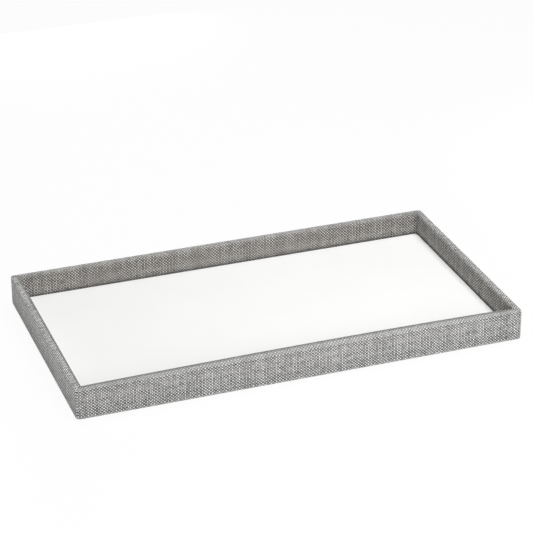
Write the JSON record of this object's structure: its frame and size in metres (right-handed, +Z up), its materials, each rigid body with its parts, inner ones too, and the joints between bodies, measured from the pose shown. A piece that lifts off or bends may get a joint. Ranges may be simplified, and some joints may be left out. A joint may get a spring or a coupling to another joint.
{
  "type": "utility tray",
  "caption": "Low rectangular utility tray: a wooden frame wrapped in grey woven cloth, with a loose white lift-out insert on its floor and felt underneath.",
  "frame": {"origin": "under the middle of the tray, on the table that it stands on", "axes": "+X along the tray's length to the right, +Y to its back, +Z up"},
  "size_m": [0.3746, 0.2096, 0.0263],
  "materials": {
    "woven_cloth": "plain weave of mixed light and dark grey threads, matt",
    "white_leathercloth": "smooth white leathercloth, satin",
    "greyboard": "plain recycled board",
    "wood": "planed, unfinished",
    "hardboard": "pressed brown fibre board",
    "steel": "bright drawn wire",
    "felt": "charcoal felt"
  },
  "bodies": {
    "tray": {"back_board": "wood", "base_board": "hardboard", "base_pin_back_1": "steel", "base_pin_back_2": "steel", "base_pin_back_3": "steel", "base_pin_back_4": "steel", "base_pin_front_1": "steel", "base_pin_front_2": "steel", "base_pin_front_3": "steel", "base_pin_front_4": "steel", "base_pin_left_1": "steel", "base_pin_left_2": "steel", "base_pin_right_1": "steel", "base_pin_right_2": "steel", "brad_back_left_lower": "steel", "brad_back_left_upper": "steel", "brad_back_right_lower": "steel", "brad_back_right_upper": "steel", "brad_front_left_lower": "steel", "brad_front_left_upper": "steel", "brad_front_right_lower": "steel", "brad_front_right_upper": "steel", "cloth_wrap": "woven_cloth", "front_board": "wood", "left_board": "wood", "right_board": "wood", "underside_felt": "felt"},
    "insert": {"insert_board": "greyboard", "insert_skin": "white_leathercloth"}
  },
  "joints": [
    {"name": "insert_lift", "type": "slide", "parent": "tray", "child": "insert", "axis": [0, 0, 1], "range_m": [0, 0.04]}
  ]
}
